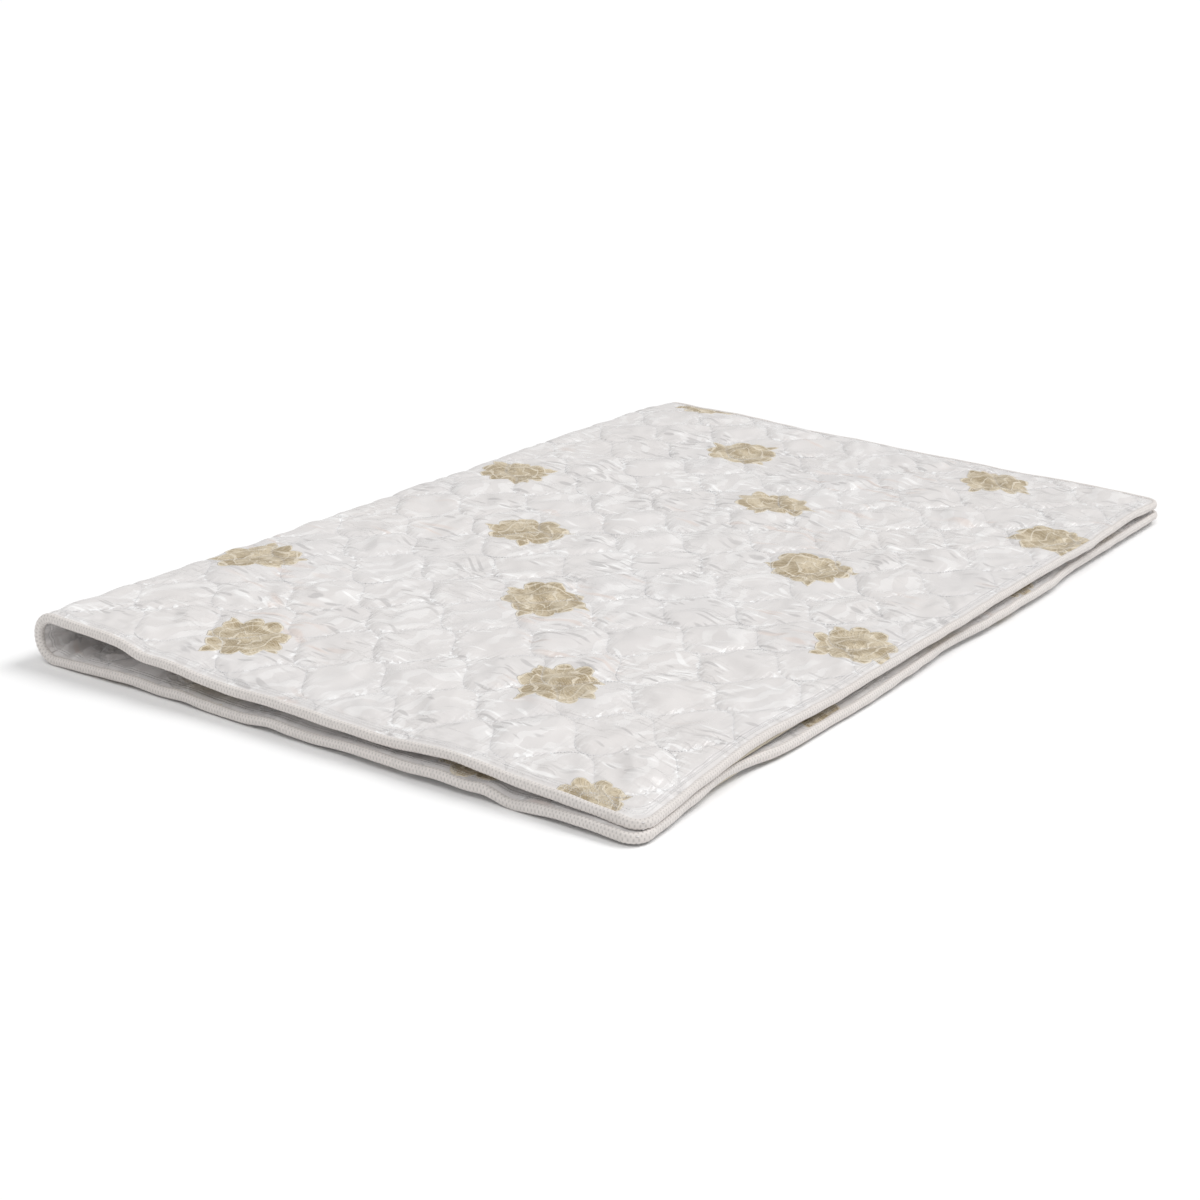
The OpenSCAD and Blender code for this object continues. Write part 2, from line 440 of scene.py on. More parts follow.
def puff(s, y, seed):
    """Movement of the cover at (s, y): each cell borrows one cell of the patch.

    The cell is found from the nearest row and the side of it the point lies on, and a
    seeded table says which cell of the patch it takes and which way round.
    """
    u, v = pattern(s, y)
    nearest = np.round(v / ROW_GAP).astype(int)
    cell_row = np.where(v > row_height(nearest, u), nearest, nearest - 1)
    shift = np.where(cell_row % 2 == 0, 0.5, 0.0)
    cell_col = np.round(u / CELL_W - shift).astype(int)
    du = u - (cell_col + shift) * CELL_W
    dv = v - (cell_row + 0.5) * ROW_GAP
    table = np.random.default_rng(seed).random((64, 64, 4))[cell_col % 64, cell_row % 64]
    flip_u = np.where(table[..., 0] > 0.5, 1.0, -1.0)
    flip_v = np.where(table[..., 1] > 0.5, 1.0, -1.0)
    take_col = (table[..., 2] * PATCH_COLS).astype(int)
    take_row = (table[..., 3] * PATCH_ROWS).astype(int)
    centre_u = (take_col + np.where(take_row % 2 == 0, 0.5, 1.0)) * CELL_W
    centre_v = (take_row + 0.5) * ROW_GAP
    move = read_patch(centre_u + flip_u * du, centre_v + flip_v * dv)
    return move * np.stack([flip_u, flip_v, 1 + 0 * flip_u], -1)


test = puff(np.linspace(0.2, 0.8, 400), np.linspace(-0.5, 0.5, 400), 1)
print("puffs in a test row, mm:", np.round(1000 * np.percentile(test[:, 2], [5, 50, 95]), 2))

# %% [markdown]
# ## The quilted faces
#
# Cover and wadding move as one, so each face is one padded piece: the sewn satin on its
# outer side, and the flat side that lies on the core. Near the tape the pad is pressed
# flat in a narrow band, and gathers run in from it. On the inside the two halves lie
# close together, so each puff may only take its share of the room between them.

# %% Height of the cover over the middle sheet
SEWN = 0.0068
PRESSED = 0.0046
RIM = 0.0078
CORE_HALF = 0.0036
FLOOR_GAP = 0.0004
SPARE = 0.0008


def room_inside(s, y):
    """Half of the room between the two halves at the same distance from the fold."""
    x = reach(s)
    between = 2 * fold_r - math.sin(turn_all - math.pi) * x
    other = pad_len - s
    return (between + sag(s, y) + sag(other, y)) / 2 - 0.0004


def cover_height(s, y, side, seed):
    """Height of one face over the middle sheet, and how far its cloth shifts sideways.

    The height is the sewn height, pressed down near the tape, plus the puff. In the fold
    the inner cloth is crushed into creases, and a smooth minimum keeps it in its room.
    """
    move = puff(s, y, seed)
    gap = edge_gap(s, y)
    taut = 1 - 0.6 * np.exp(-reach(s) / 0.04) if side > 0 else 1.0
    free = soft(gap, 0.0185, 0.050) ** 0.65 * taut
    gathers = 0.0011 * ripple(s, y, 0.026, seed + 7) * bump(gap, 0.030, 0.012)
    base = PRESSED + (SEWN - PRESSED) * soft(gap, 0.009, 0.018)
    height = base + move[..., 2] * free + gathers
    height = height + 0.0007 * ripple(s, y, 0.11, seed + 9) * free
    if side < 0:
        crush = 0.0032 * ripple(s, y * 0.15, 0.019, seed + 11) * np.exp(-reach(s) / 0.045)
        limit = np.maximum(room_inside(s, y), 0.006)
        height = limit - np.logaddexp(0, (limit - height - crush) / SPARE) * SPARE
    return height, move[..., 0] * free, move[..., 1] * free


print("the cover lies", 1000 * SEWN, "mm over the middle at its seams")

# %% Grid of a whole face
PER_HALF = 282
PER_BEND = 5
ACROSS = 331


def face_grid(side, seed):
    """The whole face from one free end to the other, as a grid of points and pattern."""
    bends = len(joints)
    lower = np.linspace(RIM, half_len, PER_HALF)
    fold = np.linspace(half_len, half_len + fold_len, bends * PER_BEND + 1)
    upper = np.linspace(half_len + fold_len, pad_len - RIM, PER_HALF)
    s = np.concatenate([lower, fold[1:-1], upper])
    y = np.linspace(-half_width + RIM, half_width - RIM, ACROSS)
    ss, yy = np.meshgrid(s, y, indexing="ij")
    moved, sewn = snap_to_rows(ss, yy, y[1] - y[0])
    inner = np.s_[1:-1, 1:-1]
    yy[inner] = moved[inner]
    height, along, across = cover_height(ss, yy, side, seed)
    points = place(ss + along, yy + across, side * height)
    if side > 0:
        points[..., 2] = np.maximum(points[..., 2], FLOOR_GAP)
    back = place(ss, yy, side * CORE_HALF)
    breaks = [0] + [PER_HALF - 1 + PER_BEND * k for k in range(bends + 1)] + [len(s) - 1]
    return {"s": ss, "y": yy, "sewn": sewn, "points": points, "back": back, "breaks": breaks}


def grid_normals(points, side):
    """Unit normals of a grid, from the differences of neighbouring points."""
    n = np.cross(np.gradient(points, axis=0), np.gradient(points, axis=1)) * side
    return n / np.linalg.norm(n, axis=-1, keepdims=True)


outer = face_grid(1, 101)
inner = face_grid(-1, 202)
outer["normals"] = grid_normals(outer["points"], 1)
inner["normals"] = grid_normals(inner["points"], -1)
print("points on a face:", outer["s"].size)
print("lowest and highest cover, mm:", round(1000 * outer["points"][..., 2].min(), 1),
      round(1000 * outer["points"][..., 2].max(), 1))

# %% [markdown]
# ## From arrays to a mesh
#
# One helper puts finished arrays into Blender. It takes points, triangles, the normal
# of each point, and any number of flat maps, which the materials read. The normals
# are worked out on the whole face before it is cut at the hinges, so no line shows
# where two pieces meet.


# %% Put arrays into a mesh
def make_piece(name, points, faces, maps, material, normals=None):
    """A new object from points (n, 3), triangles (m, 3) and maps of one pair per point or corner."""
    mesh = bpy.data.meshes.new(name)
    mesh.vertices.add(len(points))
    mesh.vertices.foreach_set("co", np.ascontiguousarray(points, np.float32).ravel())
    mesh.loops.add(faces.size)
    mesh.loops.foreach_set("vertex_index", np.ascontiguousarray(faces, np.int32).ravel())
    mesh.polygons.add(len(faces))
    mesh.polygons.foreach_set("loop_start", np.arange(0, faces.size, 3, dtype=np.int32))
    mesh.update(calc_edges=True)
    mesh.polygons.foreach_set("use_smooth", np.ones(len(faces), bool))
    for label, values in maps.items():
        pairs = values if values.shape[0] == faces.size else values[faces.ravel()]
        layer = mesh.uv_layers.new(name=label)
        layer.data.foreach_set("uv", np.ascontiguousarray(pairs, np.float32).ravel())
    mesh.materials.append(material)
    if normals is not None:
        mesh.normals_split_custom_set_from_vertices(normals.tolist())
    piece = bpy.data.objects.new(name, mesh)
    bpy.context.scene.collection.objects.link(piece)
    return piece


# %% [markdown]
# ## Shader arithmetic
#
# Materials here are formulas: the distance to a seam, the outline of a woven rose, the
# phase of a knit. Written with nodes one by one they would be hard to read. A small
# class wraps a node's output, so that plus, minus and the rest add Math nodes.

# %% One class for shader formulas
NODE = "ShaderNode"


class Wire:
    """A shader node's output, used like a number; node() adds any other node."""

    def __init__(self, tree, socket=None):
        self.tree, self.socket = tree, socket

    def node(self, kind, settings=None, values=None, output=0):
        """Adds a node: its settings are set first, then its sockets' values or links."""
        made = self.tree.nodes.new(NODE + kind)
        for name, value in (settings or {}).items():
            setattr(made, name, value)
        for name, value in (values or {}).items():
            if isinstance(value, Wire):
                self.tree.links.new(value.socket, made.inputs[name])
            else:
                made.inputs[name].default_value = value
        return Wire(self.tree, made.outputs[output] if made.outputs else None)

    def out(self, which):
        """Another output of the same node."""
        return Wire(self.tree, self.socket.node.outputs[which])

    def math(self, operation, *values):
        """Adds a Math node on these wires and numbers."""
        return self.node("Math", {"operation": operation}, dict(enumerate(values)))

    def __add__(self, other):
        return self.math("ADD", self, other)

    def __radd__(self, other):
        return self.math("ADD", other, self)

    def __sub__(self, other):
        return self.math("SUBTRACT", self, other)

    def __rsub__(self, other):
        return self.math("SUBTRACT", other, self)

    def __mul__(self, other):
        return self.math("MULTIPLY", self, other)

    def __rmul__(self, other):
        return self.math("MULTIPLY", other, self)

    def __truediv__(self, other):
        return self.math("DIVIDE", self, other)

    def __rtruediv__(self, other):
        return self.math("DIVIDE", other, self)

    def __pow__(self, other):
        return self.math("POWER", self, other)

    def __abs__(self):
        return self.math("ABSOLUTE", self)

    def sin(self):
        return self.math("SINE", self)

    def cos(self):
        return self.math("COSINE", self)

    def sqrt(self):
        return self.math("SQRT", self)

    def round(self):
        return self.math("ROUND", self)

    def least(self, other):
        return self.math("MINIMUM", self, other)

    def most(self, other):
        return self.math("MAXIMUM", self, other)

    def exp(self):
        return self.math("EXPONENT", self)

    def step(self, low, high):
        """0 below low, 1 above high and a soft rise between; low above high turns it round."""
        ends = {"Value": self, "From Min": low, "From Max": high}
        return self.node("MapRange", {"interpolation_type": "SMOOTHSTEP"}, ends)

    def mix(self, low, high):
        """A colour between low, where this is 0, and high, where it is 1."""
        made = self.tree.nodes.new(NODE + "Mix")
        made.data_type = "RGBA"
        self.tree.links.new(self.socket, made.inputs["Factor"])
        for socket, value in ((made.inputs[6], low), (made.inputs[7], high)):
            if isinstance(value, Wire):
                self.tree.links.new(value.socket, socket)
            else:
                socket.default_value = value
        return Wire(self.tree, made.outputs[2])


def new_material(name):
    """An empty material and the wire that adds its nodes."""
    material = bpy.data.materials.new(name)
    material.use_nodes = True
    material.node_tree.nodes.clear()
    return material, Wire(material.node_tree)


def finish_material(tree, values):
    """Joins a principled shader with these socket values to the material's output."""
    shader = tree.node("BsdfPrincipled", None, values)
    tree.node("OutputMaterial", None, {"Surface": shader})


def tint(red, green, blue):
    """A screen colour from 0 to 255 as the linear colour that a shader takes."""
    return tuple(((c / 255 + 0.055) / 1.055) ** 2.4 for c in (red, green, blue)) + (1.0,)


print("a warm white is", [round(c, 3) for c in tint(230, 228, 224)])

# %% [markdown]
# ## Noise, slanted maps and leaves
#
# Nearly every mark on the satin is one of two things. Broad marks are smooth noise,
# cut by a soft step. Leaf shapes are the spots round scattered dots, stretched one way
# so that a round spot becomes a long one. Both read the cloth map through a small push
# of noise, so that no leaf is quite straight.

# %% Helpers that read the cloth map
def noise(cloth, scale, detail=2.0, output=0, rough=0.5):
    """Smooth noise at the places a wire carries; output 1 is three noises as a vector."""
    values = {"Vector": cloth, "Scale": scale, "Detail": detail, "Roughness": rough}
    return cloth.node("TexNoise", None, values, output)


def pushed(cloth, scale, detail, rough, amount):
    """The cloth map moved along and across by noise, by up to the amount in metres."""
    wander = noise(cloth, scale, detail, 1, rough)
    values = {0: wander, 1: (amount, amount, 0.0), 2: cloth}
    return cloth.node("VectorMath", {"operation": "MULTIPLY_ADD"}, values)


def slanted(cloth, turn, scale, seed):
    """The cloth map turned, stretched by two scales, and moved to another place by a seed."""
    return cloth.node("Mapping", None, {
        "Vector": cloth, "Location": (seed, seed * 1.7, 0.0),
        "Rotation": (0.0, 0.0, turn), "Scale": (scale[0], scale[1], 1.0)})


def leaves(cloth, kinds, full, end):
    """Stretched spots: 1 within the distance full of a scattered dot and 0 past end."""
    total = 0
    for turn, scale, seed in kinds:
        dots = cloth.node("TexVoronoi", None, {
            "Vector": slanted(cloth, turn, scale, seed), "Scale": 1.0, "Randomness": 1.0})
        total = dots.step(end, full) + total
    return total.least(1.0)


def patches(cloth, scale, seed, low, high):
    """Large soft patches, where a slow noise is high."""
    return noise(slanted(cloth, 0.0, (1.0, 1.0), seed), scale, 1.0).step(low, high)


GREY_LEAVES = ((0.5, (14.0, 58.0), 0.3), (-0.9, (13.0, 62.0), 5.2), (1.7, (15.0, 70.0), 9.1))
# gloss streak leaves: white strokes that are painted highlights of the satin
GLOSS_STREAK_LEAVES = ((0.2, (13.0, 64.0), 3.3), (-0.5, (12.0, 74.0), 7.2))
BLUSH_LEAVES = ((0.9, (9.0, 40.0), 8.7), (-0.3, (10.0, 44.0), 1.9))
for word, kinds in (("grey", GREY_LEAVES), ("bright", GLOSS_STREAK_LEAVES), ("blush", BLUSH_LEAVES)):
    print(word, "leaves, mm:", [[round(1000 / side) for side in scale] for _, scale, _ in kinds])

# %% [markdown]
# ## Woven satin with roses
#
# The cover is a white damask: leaves woven in a second weave that catches the light
# differently, a few of them in grey or pinkish thread, and tan roses scattered on a
# slanting lattice. Painting them would tie the look to one picture, so all of it is
# formulas. The roses are woven in, so they follow the cloth map, which is measured in
# metres along and across the pad. A rose is a ring of lobes with three pointed leaves.
# One rose beside the edge was woven smaller than the rest. Some bright leaf-shaped
# strokes are painted highlights: white colour that stands in for glossy streaks, with a
# lower roughness as well.

# %% The rose lattice
ROSE_S = half_len + fold_len + 0.0088 - fold_x
ROSE_Y = -0.2864
STEP_A = (0.2016, -0.2271)
STEP_B = (0.2198, 0.3490)
NUMBER_A = 2.3
NUMBER_B = 4.1
SMALL_ROSE = 2 * NUMBER_A


def rose_place(s, y):
    """Place measured from the nearest rose of the lattice, and a number for that rose."""
    ds, dy = s - ROSE_S, y - ROSE_Y
    size = STEP_A[0] * STEP_B[1] - STEP_A[1] * STEP_B[0]
    a = ((ds * STEP_B[1] - dy * STEP_B[0]) / size).round()
    b = ((dy * STEP_A[0] - ds * STEP_A[1]) / size).round()
    local_s = ds - a * STEP_A[0] - b * STEP_B[0]
    local_y = dy - a * STEP_A[1] - b * STEP_B[1]
    return local_s, local_y, a * NUMBER_A + b * NUMBER_B


print("from a rose to the next, m:", round(math.hypot(*STEP_A), 3), round(math.hypot(*STEP_B), 3))

# %% The outline of a rose
ROSE_RADIUS = 0.0470
LOBE = 0.0125
ROSE_LEAVES = ((-1.45, 0.030, 0.044, 0.010), (0.08, 0.034, 0.040, 0.008), (3.0, 0.032, 0.040, 0.008))


def leaf(x, y, angle, start, length, width):
    """Signed depth inside a pointed leaf that starts near the centre and runs at angle."""
    c, s = math.cos(angle), math.sin(angle)
    along = (x * c + y * s - start - length / 2) / (length / 2)
    across = abs(y * c - x * s)
    return width * (1 - along * along) - across


def rose(x, y):
    """Depth inside the rose's outline, its petal edges, its radius and its angle.

    The outline is a ring of round lobes, |sin| of several turns, with three short leaves.
    """
    r = (x * x + y * y).sqrt()
    angle = y.math("ARCTAN2", y, x)
    lobes = abs((angle * 4.5 + (angle * 2 + 0.7).sin() * 0.5).sin()) ** 0.7
    shape = lobes * LOBE + (angle * 2 + 0.4).cos() * 0.0040 + ROSE_RADIUS - r
    for turn, start, length, width in ROSE_LEAVES:
        shape = shape.most(leaf(x, y, turn, start, length, width))
    curl = abs((angle * 2.5 + r * 95).sin()) * 1.4
    petals = (r * 330 + curl * 2.0 + (angle * 3).sin() * 0.8).sin()
    return shape, petals, r, angle


def turned_rose(cloth, s, y):
    """Place on the nearest rose, frayed by noise, turned and mirrored by the rose's number."""
    local_s, local_y, number = rose_place(s, y)
    fray = (noise(cloth, 70.0) - 0.5) * 0.007
    turned = (number * 1.7).sin() * 0.55
    c, sn = turned.cos(), turned.sin()
    mirror = cloth.math("SIGN", (number * 3.1 + 0.9).sin())
    small = 1 + abs(number - SMALL_ROSE).step(0.15, 0.05) * 0.45
    x = (local_s * c + local_y * sn) * small + fray
    y = (local_y * c - local_s * sn) * mirror * small + fray * 0.8
    return x, y


print("a rose is about", round(2 * (ROSE_RADIUS + LOBE), 3), "m across")

# %% [markdown]
# ## Seams, gathers and folds
#
# Sewn satin is never smooth. Small creases run away from the thread and die out, and
# longer folds cross the cells where the cloth was dragged. The big puffs are real
# geometry, and these finer marks are a bump. They need the distance to the nearest row
# of stitches, which the material works out again from the pattern map.

# %% Distance to the nearest row
def seam_distance(u, v):
    """Distance from the pattern map's point to the nearest row.

    v less the height of the nearest even row, or of the nearest odd row if that is
    smaller, divided by how much longer the sloping row is than its shadow along u.
    """
    turn = u * (2 * math.pi / CELL_W)
    swing = turn.cos() * (1 + FLATTEN) - (turn * 3).cos() * FLATTEN
    steep = turn.sin() * (SWING * 2 * math.pi / CELL_W)
    pair = 2 * ROW_GAP
    even = v - (v / pair).round() * pair
    odd_v = v - ROW_GAP
    odd = odd_v - (odd_v / pair).round() * pair
    nearest = abs(even - swing * SWING).least(abs(odd + swing * SWING))
    return nearest / (steep * steep + 1).sqrt()


print("a row is steepest at", round(math.degrees(math.atan(SWING * 2 * math.pi / CELL_W))), "degrees")


# %% Gathers, folds and lines of sewing
def gathered(u, v, seam):
    """Creases across the seam: noise stretched away from it, times e to the minus distance."""
    along = u.node("CombineXYZ", None, {0: u * 150, 1: seam * 28, 2: (v / ROW_GAP).round() * 3.7})
    return (noise(along, 1.0, 2.5) - 0.5) * (seam * -80).exp()


def glossy_folds(cloth, bent):
    """Thin crests where a stretched noise passes one half, in two directions, in patches."""
    crests = 0
    for turn, seed in ((0.35, 2.1), (-0.75, 6.4)):
        line = noise(slanted(bent, turn, (9.0, 34.0), seed), 1.0, 2.0, 0, 0.45)
        crests = (1 - abs(line - 0.5) * 17).most(0.0) ** 1.4 + crests
    return (crests * noise(cloth, 8.0, 1.0).step(0.47, 0.62)).least(1.0)


SEWING_LINES = (0.0168, 0.0208)


def sewing_lines(gap):
    """A thin bell at each line's distance from the edge of the pad."""
    total = 0
    for distance in SEWING_LINES:
        total = ((((gap - distance) * 900) ** 2) * -1).exp() + total
    return total


print("lines of sewing from the edge, mm:", [1000 * line for line in SEWING_LINES])

# %% [markdown]
# ## Colours of the satin
#
# The white ground is mixed with the bright figure and with white strokes that are
# painted highlights, then the grey leaves, then a little blush. The rose's thread is a
# mottled tan with a fine hatch, paler along the petal edges and the outline, as raised
# embroidery is.

# %% Colours
def white_ground(cloth, figure, lights, sprays, blush):
    """The colours of the white weave, from the ground up, with white strokes that are painted
    highlights.
    """
    ground = noise(cloth, 3.0).mix(tint(222, 220, 220), tint(225, 220, 217))
    # painted highlight: the gloss streaks are mixed towards near-white; the figure is the damask's own
    # pattern
    white = (figure * 0.35 + lights * 0.7).least(1.0).mix(ground, tint(247, 246, 245))
    white = (sprays * 0.72).mix(white, tint(192, 189, 188))
    return (blush * 0.5).mix(white, tint(222, 205, 196))


def rose_thread(cloth, hatch, ridge, veins, outline):
    """The colours of the rose's thread: mottled tan, hatch, dark specks, edges, outline."""
    tan = noise(cloth, 34.0).step(0.38, 0.62).mix(tint(164, 146, 114), tint(208, 194, 168))
    tan = (hatch * 0.55).mix(tan, tint(228, 215, 190))
    tan = (noise(cloth, 330.0, 1.0).step(0.50, 0.72) * 0.45).mix(tan, tint(136, 116, 84))
    tan = (ridge * 0.75 + veins * 0.3).mix(tan, tint(228, 217, 197))
    return (outline * 0.9).mix(tan, tint(231, 221, 202))


def woven_figure(cloth, bent):
    """Curled bands of a ring wave that noise pushes about, in patches."""
    scroll = cloth.node("TexWave", {"wave_type": "RINGS", "rings_direction": "SPHERICAL"}, {
        "Vector": bent, "Scale": 9.0, "Distortion": 9.0, "Detail": 2.0, "Detail Scale": 1.4,
        "Detail Roughness": 0.55}, 1)
    return scroll.step(0.55, 0.68) * noise(cloth, 11.0, 1.0).step(0.45, 0.55)


print("the ground is about", [round(c, 3) for c in tint(222, 220, 220)])

# %% [markdown]
# ## The satin put together
#
# One material covers both faces. It reads three maps: the cloth map for what is woven,
# the quilting pattern for the seams, and the distance from the edge for the sewing.

# %% The satin cover material
def two_of(wire):
    """The first two numbers of a map."""
    parts = wire.node("SeparateXYZ", None, {0: wire})
    return parts, parts.out(1)


def satin_cover():
    """White damask satin: figure, coloured threads, roses, seam gathers and fine weave."""
    material, tree = new_material("white_satin_damask")
    cloth = tree.node("UVMap", {"uv_map": "cloth"})
    s, y = two_of(cloth)
    u, v = two_of(tree.node("UVMap", {"uv_map": "quilt"}))
    gap, _ = two_of(tree.node("UVMap", {"uv_map": "edge"}))
    bent = pushed(cloth, 26.0, 3.0, 0.6, 0.02)
    curled = pushed(cloth, 9.0, 1.0, 0.4, 0.09)
    # seams: grooves in the bump, with painted shade in them
    seam = seam_distance(u, v)
    groove_and_shade = (seam * -620).exp()
    lines = sewing_lines(gap)
    # painted glint: white colour beside the seams where a highlight would fall, with a lower roughness
    # and a small bump as well
    painted_glint = noise(cloth, 95.0).step(0.53, 0.62) * (seam * -110).exp()
    painted_glint = painted_glint * noise(cloth, 14.0, 1.0).step(0.42, 0.55)
    # what is woven in white, grey and blush, and white strokes that are painted highlights
    figure = woven_figure(cloth, bent)
    sprays = leaves(curled, GREY_LEAVES, 0.17, 0.24) * patches(cloth, 7.0, 0.0, 0.46, 0.56)
    lights = leaves(curled, GLOSS_STREAK_LEAVES, 0.16, 0.27) * patches(cloth, 6.0, 4.0, 0.44, 0.56)
    blush = leaves(curled, BLUSH_LEAVES, 0.14, 0.30) * patches(cloth, 4.0, 7.0, 0.50, 0.62)
    white = white_ground(cloth, figure, lights, sprays, blush)
    # roses
    rose_x, rose_y = turned_rose(cloth, s, y)
    depth, petals, r, angle = rose(rose_x, rose_y)
    inside = depth.step(-0.0007, 0.0007)
    outline = inside * depth.step(0.0034, 0.0018)
    veins = ((angle * 31 + (r * 260).sin() * 0.9).sin()).step(0.4, 0.95) * r.step(0.010, 0.018)
    ridge = petals.step(0.72, 0.93)
    hatch = (rose_y * 2100 + (rose_x * 130).sin() * 2.2).sin() * 0.5 + 0.5
    hatch = hatch * noise(cloth, 240.0, 1.0)
    # colour and gloss
    colour = inside.mix(white, rose_thread(cloth, hatch, ridge, veins, outline))
    # painted shade: the seam grooves and the sewing lines by the tape are darkened to grey in the
    # colour
    colour = (groove_and_shade * 0.28 + lines * 0.16).least(1.0).mix(colour, tint(205, 204, 206))
    colour = (painted_glint * (1 - inside) * 0.8).mix(colour, tint(255, 255, 255))
    rough = noise(cloth, 18.0).step(0.3, 0.8) * 0.10 + 0.27
    rough = rough - figure * 0.05 - lights * 0.10 - painted_glint * 0.08 + inside * 0.2 + sprays * 0.05
    # heights in metres: creases, weave, raised thread
    crumple = noise(bent, 15.0)
    weave = (s * 5200 + y * 2600).sin() * (y * 6400).sin()
    height = gathered(u, v, seam) * 0.0029 + (crumple - 0.5) * 0.0008 - groove_and_shade * 0.0005
    height = height + glossy_folds(cloth, bent) * 0.0007 + weave * 0.00001
    height = height + (figure + lights) * 0.00015 + hatch * inside * 0.0003
    height = height + inside * 0.0006 + (ridge + veins) * inside * 0.0004
    height = height + painted_glint * 0.0004 - lines * 0.0005
    relief = tree.node("Bump", None, {"Strength": 1.0, "Distance": 1.0, "Height": height})
    finish_material(tree, {
        "Base Color": colour, "Roughness": rough, "Normal": relief, "Metallic": inside * 0.12,
        "Specular IOR Level": 0.55, "Sheen Weight": 0.12, "Sheen Roughness": 0.35})
    return material


satin = satin_cover()
print("nodes in the satin:", len(satin.node_tree.nodes))

# %% [markdown]
# ## Tape, thread and core
#
# The tape is a knit, so its bumps are real geometry and the material adds the yarn and
# the shade between the stitches. The thread is a plain bright yarn. The core is felt,
# never seen in the closed pad, but it has its own colour and fibres.


# %% The knitted tape material
def knitted_tape():
    """Off-white knit: yarn lines across each stitch, with painted shade in the gaps between stitches.
    """
    material, tree = new_material("knitted_tape")
    knit = tree.node("UVMap", {"uv_map": "knit"})
    parts = knit.node("SeparateXYZ", None, {0: knit})
    p, q = parts, parts.out(1)
    ups = (p * (2 * math.pi) + q * (2 * math.pi * 4)).cos()
    downs = (p * (2 * math.pi) - q * (2 * math.pi * 4)).cos()
    bumps = (ups + downs) * 0.25 + 0.5
    yarn = (p * (2 * math.pi * 6) + q * (2 * math.pi * 9)).sin()
    place_of = tree.node("TexCoord", None, None, 3)
    fuzz = tree.node("TexNoise", None, {"Vector": place_of, "Scale": 900.0, "Detail": 2.0})
    slow = tree.node("TexNoise", None, {"Vector": place_of, "Scale": 6.0, "Detail": 2.0})
    lit = slow.mix(tint(231, 227, 223), tint(230, 222, 217))
    uneven = tree.node("TexNoise", None, {"Vector": place_of, "Scale": 160.0, "Detail": 1.0})
    shade = bumps.step(0.05, 0.5) * (uneven.step(0.2, 0.6) * 0.4 + 0.6)
    # painted shade: the gaps between the knit bumps are mixed to a darker grey
    colour = shade.mix(tint(205, 200, 196), lit)
    height = yarn * 0.00008 + fuzz * 0.00025 + bumps.step(0.1, 0.8) * 0.0004
    relief = tree.node("Bump", None, {"Strength": 0.8, "Distance": 1.0, "Height": height})
    finish_material(tree, {
        "Base Color": colour, "Roughness": 0.82, "Normal": relief,
        "Specular IOR Level": 0.25, "Sheen Weight": 0.25, "Sheen Roughness": 0.5})
    return material


tape = knitted_tape()
print("nodes in the tape:", len(tape.node_tree.nodes))


# %% Thread and felt
def plain_fibre(name, low, high, scale, roughness, depth):
    """A fibrous finish: a mottled colour and a fine bump from the same noise."""
    material, tree = new_material(name)
    place_of = tree.node("TexCoord", None, None, 3)
    fibre = tree.node("TexNoise", None, {
        "Vector": place_of, "Scale": scale, "Detail": 4.0, "Distortion": 1.2})
    relief = tree.node("Bump", None, {"Strength": 0.7, "Distance": 1.0, "Height": fibre * depth})
    finish_material(tree, {
        "Base Color": fibre.mix(low, high), "Roughness": roughness, "Normal": relief})
    return material


thread = plain_fibre("sewing_thread", tint(226, 227, 230), tint(244, 244, 244), 2500.0, 0.45, 0.0001)
felt = plain_fibre("felted_core", tint(196, 186, 166), tint(224, 217, 200), 180.0, 0.95, 0.0012)
print("materials:", [m.name for m in (satin, tape, thread, felt)])

# %% [markdown]
# ## Close a face into a padded piece
#
# The sewn side has a fine grid, and the flat side on the core only needs a coarse one.
# A fine row and a coarse row share an edge by fanning triangles from each coarse point
# to the fine points nearest it, so the shell is closed with few extra faces.

# %% Stitch a fine grid to a coarse one
COARSE = 10
print("one coarse cell for", COARSE, "by", COARSE, "fine ones")


def fan(fine, coarse):
    """Triangles between a fine line of points and a coarse one that runs beside it."""
    n, m = len(fine) - 1, len(coarse) - 1
    mid = np.round((np.arange(n) + 0.5) * m / n).astype(int)
    tall = np.stack([fine[:-1], coarse[mid], fine[1:]], 1)
    jump = np.flatnonzero(np.diff(mid) > 0)
    wide = np.stack([fine[jump + 1], coarse[mid[jump]], coarse[mid[jump] + 1]], 1)
    return np.concatenate([tall, wide])


